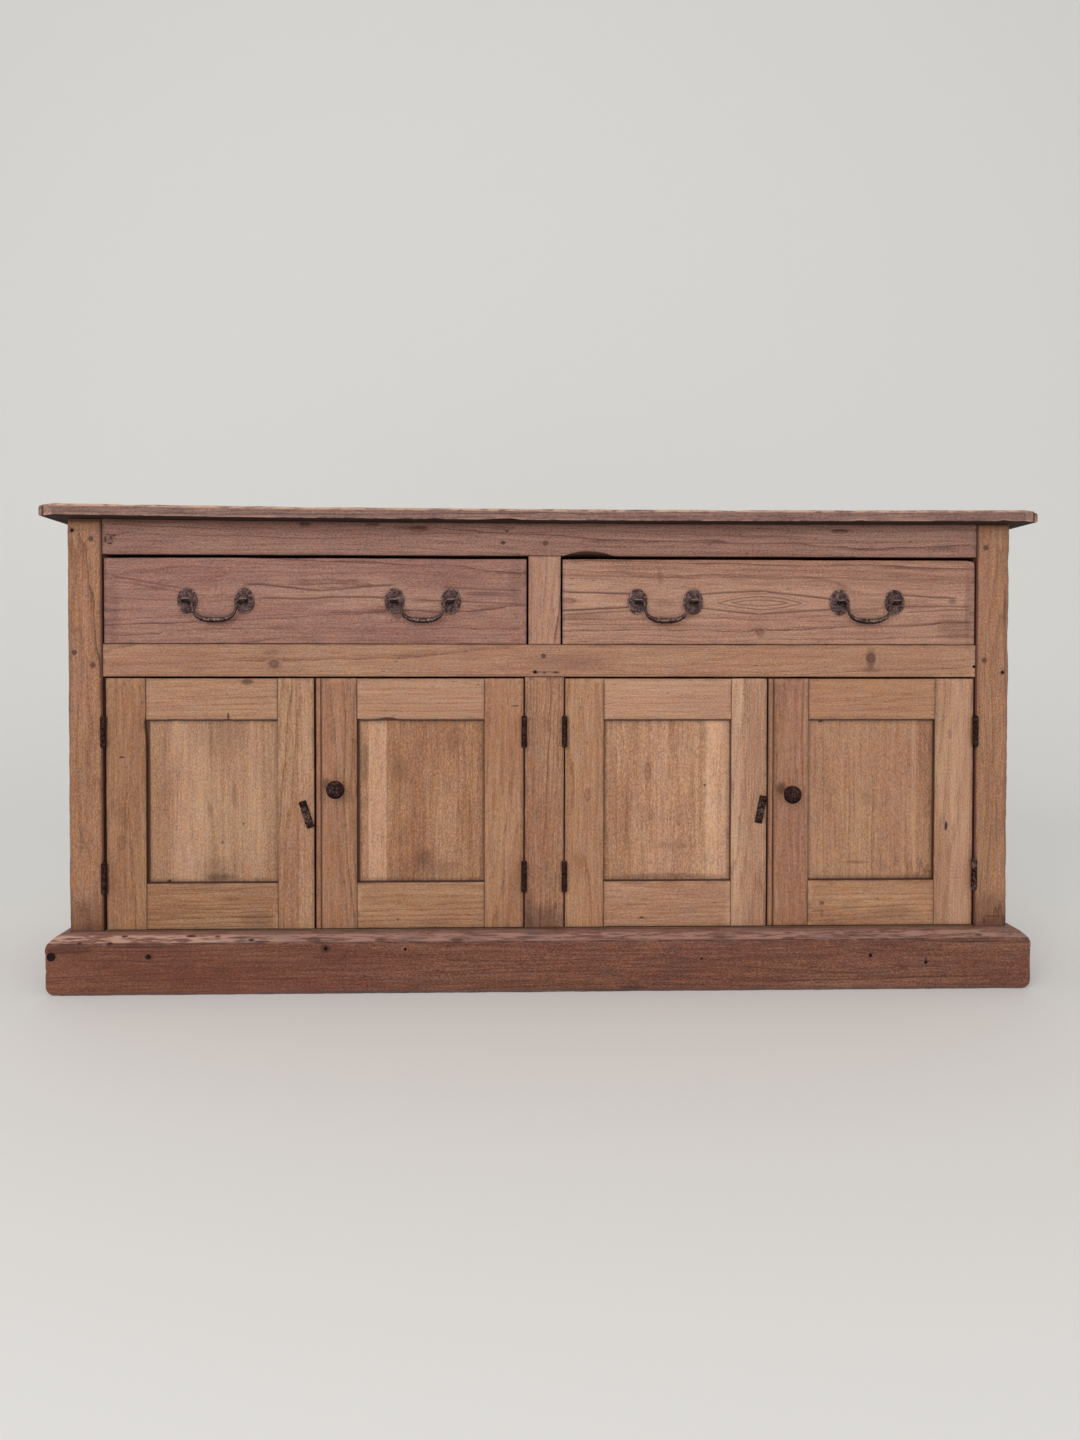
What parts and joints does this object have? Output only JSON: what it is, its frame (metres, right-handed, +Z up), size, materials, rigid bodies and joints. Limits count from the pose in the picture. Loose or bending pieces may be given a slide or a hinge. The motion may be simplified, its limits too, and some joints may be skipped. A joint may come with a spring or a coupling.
{
  "type": "kitchen dresser",
  "caption": "Low waxed pine kitchen dresser base with inset drawers on bail handles above panelled doors, standing on a chamfered plinth.",
  "frame": {"origin": "on the floor, under the middle of the worktop's length and depth", "axes": "+X along the length to the right as seen from the front, +Y from the front to the back, +Z up"},
  "size_m": [1.83, 0.49, 0.882],
  "materials": {
    "worktop_pine": "old waxed pine, greyed and worn",
    "frame_pine": "old waxed pine",
    "drawer_pine": "old waxed pine, pinkish",
    "door_pine": "old waxed pine, honey coloured",
    "plinth_pine": "dark stained and waxed pine",
    "inside_pine": "bare dry pine",
    "iron": "aged dark iron"
  },
  "bodies": {
    "root": {"worktop": "worktop_pine", "front_post_left": "frame_pine", "front_post_right": "frame_pine", "top_rail": "frame_pine", "mid_rail": "frame_pine", "drawer_muntin": "frame_pine", "centre_stile": "frame_pine", "side_board_left": "frame_pine", "side_board_right": "frame_pine", "cupboard_floor": "inside_pine", "shelf": "inside_pine", "back_boards": "inside_pine", "plinth_front": "plinth_pine", "plinth_left": "plinth_pine", "plinth_right": "plinth_pine", "drawer_runner_left": "inside_pine", "drawer_runner_centre": "inside_pine", "drawer_runner_right": "inside_pine", "hinge_upper_1": "iron", "hinge_lower_1": "iron", "hinge_upper_2": "iron", "hinge_lower_2": "iron", "hinge_upper_3": "iron", "hinge_lower_3": "iron", "hinge_upper_4": "iron", "hinge_lower_4": "iron"},
    "drawer_left": {"drawer_left_front": "drawer_pine", "drawer_left_side_left": "inside_pine", "drawer_left_side_right": "inside_pine", "drawer_left_back": "inside_pine", "drawer_left_bottom": "inside_pine", "drawer_left_outer_plate_left": "iron", "drawer_left_outer_plate_right": "iron", "drawer_left_inner_plate_left": "iron", "drawer_left_inner_plate_right": "iron"},
    "drawer_right": {"drawer_right_front": "drawer_pine", "drawer_right_side_left": "inside_pine", "drawer_right_side_right": "inside_pine", "drawer_right_back": "inside_pine", "drawer_right_bottom": "inside_pine", "drawer_right_outer_plate_left": "iron", "drawer_right_outer_plate_right": "iron", "drawer_right_inner_plate_left": "iron", "drawer_right_inner_plate_right": "iron"},
    "bail_left_outer": {"drawer_left_outer_bail": "iron"},
    "bail_left_inner": {"drawer_left_inner_bail": "iron"},
    "bail_right_inner": {"drawer_right_inner_bail": "iron"},
    "bail_right_outer": {"drawer_right_outer_bail": "iron"},
    "door_1": {"door_1_frame": "door_pine", "door_1_panel": "door_pine"},
    "door_2": {"door_2_frame": "door_pine", "door_2_panel": "door_pine", "knob_left": "iron"},
    "door_3": {"door_3_frame": "door_pine", "door_3_panel": "door_pine"},
    "door_4": {"door_4_frame": "door_pine", "door_4_panel": "door_pine", "knob_right": "iron"},
    "button_left": {"turn_button_left": "iron"},
    "button_right": {"turn_button_right": "iron"}
  },
  "joints": [
    {"name": "drawer_left_slide", "type": "slide", "parent": "root", "child": "drawer_left", "axis": [0, -1, 0], "range_m": [0, 0.33]},
    {"name": "drawer_right_slide", "type": "slide", "parent": "root", "child": "drawer_right", "axis": [0, -1, 0], "range_m": [0, 0.33]},
    {"name": "door_1_hinge", "type": "hinge", "parent": "root", "child": "door_1", "pos_m": [-0.8084, -0.20685, 0.34275], "axis": [0, 0, -1], "range_deg": [0, 110]},
    {"name": "door_2_hinge", "type": "hinge", "parent": "root", "child": "door_2", "pos_m": [-0.03745, -0.20742, 0.34275], "axis": [0, 0, 1], "range_deg": [0, 90]},
    {"name": "door_3_hinge", "type": "hinge", "parent": "root", "child": "door_3", "pos_m": [0.03745, -0.20742, 0.34275], "axis": [0, 0, -1], "range_deg": [0, 90]},
    {"name": "door_4_hinge", "type": "hinge", "parent": "root", "child": "door_4", "pos_m": [0.80925, -0.20721, 0.34275], "axis": [0, 0, 1], "range_deg": [0, 110]},
    {"name": "bail_left_outer_swing", "type": "hinge", "parent": "drawer_left", "child": "bail_left_outer", "pos_m": [-0.604, -0.2138, 0.7175], "axis": [-1, 0, 0], "range_deg": [0, 95]},
    {"name": "bail_left_inner_swing", "type": "hinge", "parent": "drawer_left", "child": "bail_left_inner", "pos_m": [-0.225, -0.2138, 0.7175], "axis": [-1, 0, 0], "range_deg": [0, 95]},
    {"name": "bail_right_inner_swing", "type": "hinge", "parent": "drawer_right", "child": "bail_right_inner", "pos_m": [0.225, -0.2138, 0.7175], "axis": [-1, 0, 0], "range_deg": [0, 95]},
    {"name": "bail_right_outer_swing", "type": "hinge", "parent": "drawer_right", "child": "bail_right_outer", "pos_m": [0.604, -0.2138, 0.7175], "axis": [-1, 0, 0], "range_deg": [0, 95]},
    {"name": "button_left_turn", "type": "hinge", "parent": "door_1", "child": "button_left", "pos_m": [-0.43952, -0.2023, 0.323], "axis": [0, 1, 0], "continuous": true},
    {"name": "button_right_turn", "type": "hinge", "parent": "door_3", "child": "button_right", "pos_m": [0.40555, -0.2023, 0.33], "axis": [0, 1, 0], "continuous": true}
  ]
}
